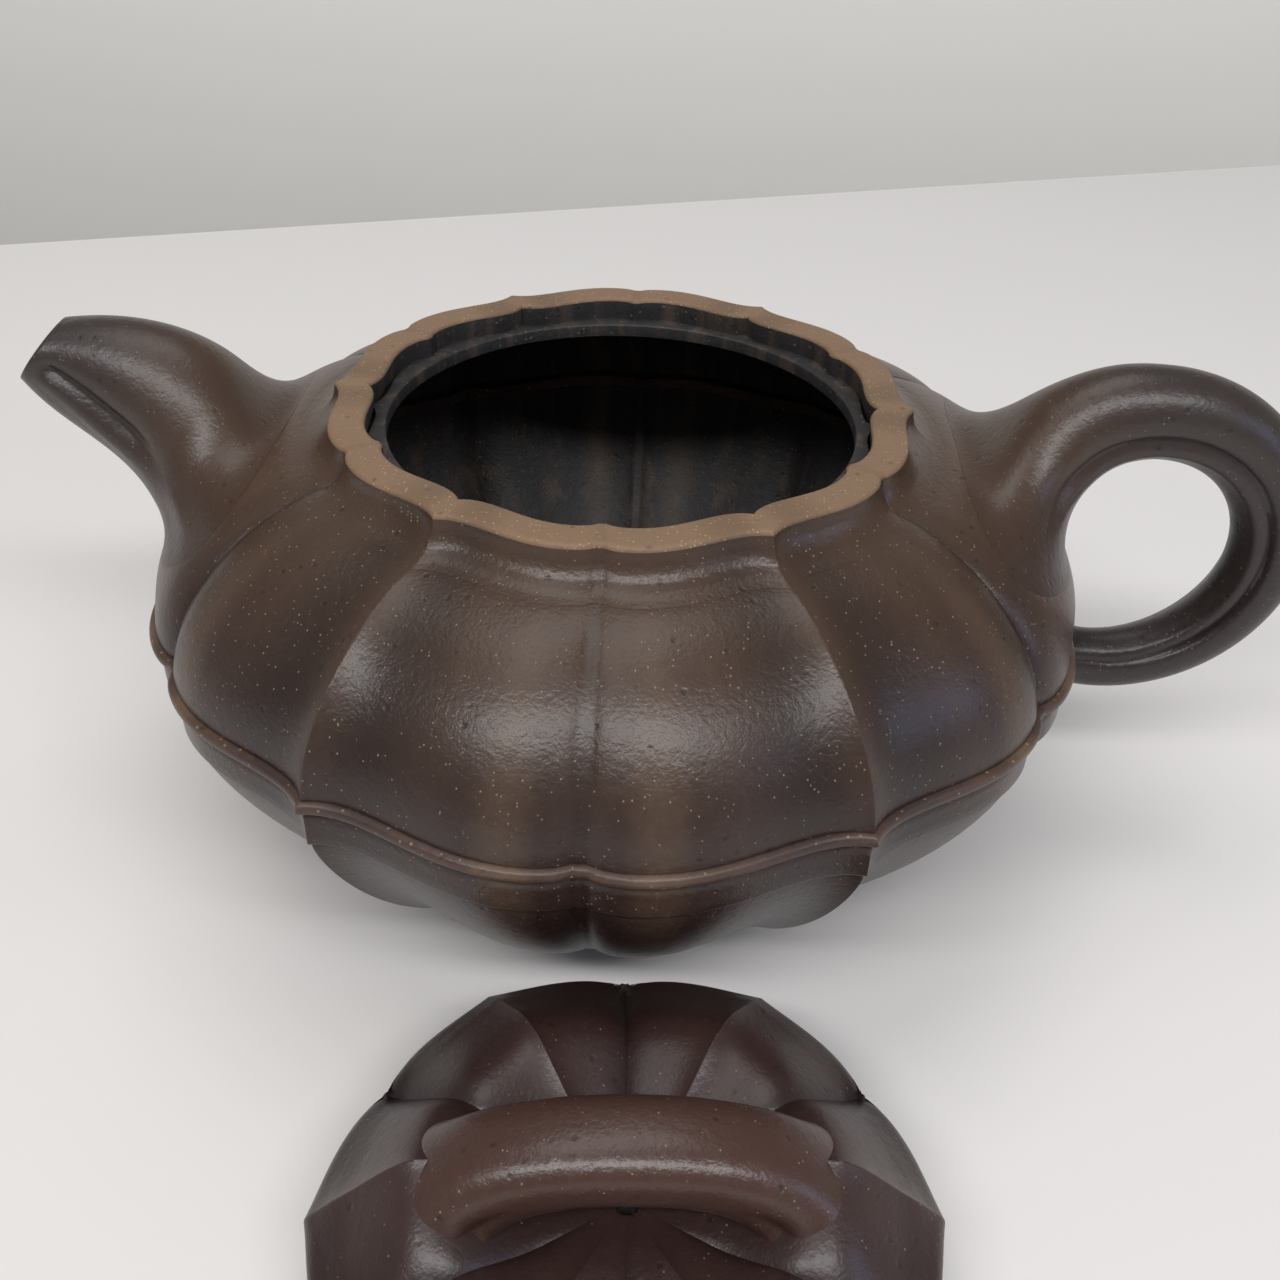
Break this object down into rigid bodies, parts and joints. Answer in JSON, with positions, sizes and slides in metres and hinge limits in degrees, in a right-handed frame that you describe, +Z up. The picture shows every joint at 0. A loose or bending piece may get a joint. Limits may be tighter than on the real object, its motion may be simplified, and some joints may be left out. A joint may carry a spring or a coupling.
{
  "type": "yixing clay teapot",
  "caption": "Squat unglazed clay teapot with a petal-fluted body, waist bead, short spout and loop handle; its bridge-knob lid is lifted off and lies beside it.",
  "frame": {"origin": "on the pot's upright axis, at the underside of the foot ring, where the pot meets the table", "axes": "+Z up along the pot's axis, +X towards the handle, -X towards the spout; the lid lies on the same table on the -Y side"},
  "size_m": [0.1646, 0.1708, 0.0679],
  "materials": {
    "clay_body": "unglazed fine clay with a hand-rubbed sheen",
    "clay_bead": "unglazed fine clay, edge rubbed bright",
    "clay_lip": "matt unglazed clay with pale grog specks",
    "clay_inside": "matt unglazed clay",
    "clay_polished": "unglazed fine clay, burnished smooth",
    "clay_lid": "unglazed fine clay, burnished smooth",
    "clay_knob": "unglazed fine clay, worn to a soft gloss",
    "clay_foot": "matt unglazed clay, ground flat"
  },
  "bodies": {
    "pot": {"foot_ring": "clay_foot", "floor_disc": "clay_inside", "lower_shell": "clay_body", "waist_bead": "clay_bead", "upper_shell": "clay_body", "mouth_ring": "clay_lip", "lid_seat": "clay_inside", "spout": "clay_polished", "strainer": "clay_inside", "handle": "clay_polished"},
    "lid": {"lid_dome": "clay_lid", "lid_flange": "clay_foot", "bridge_knob": "clay_knob"}
  },
  "joints": [
    {"name": "lid_lift", "type": "slide", "parent": "pot", "child": "lid", "axis": [0, -0.6, 0.8], "range_m": [0, 0.12]}
  ]
}
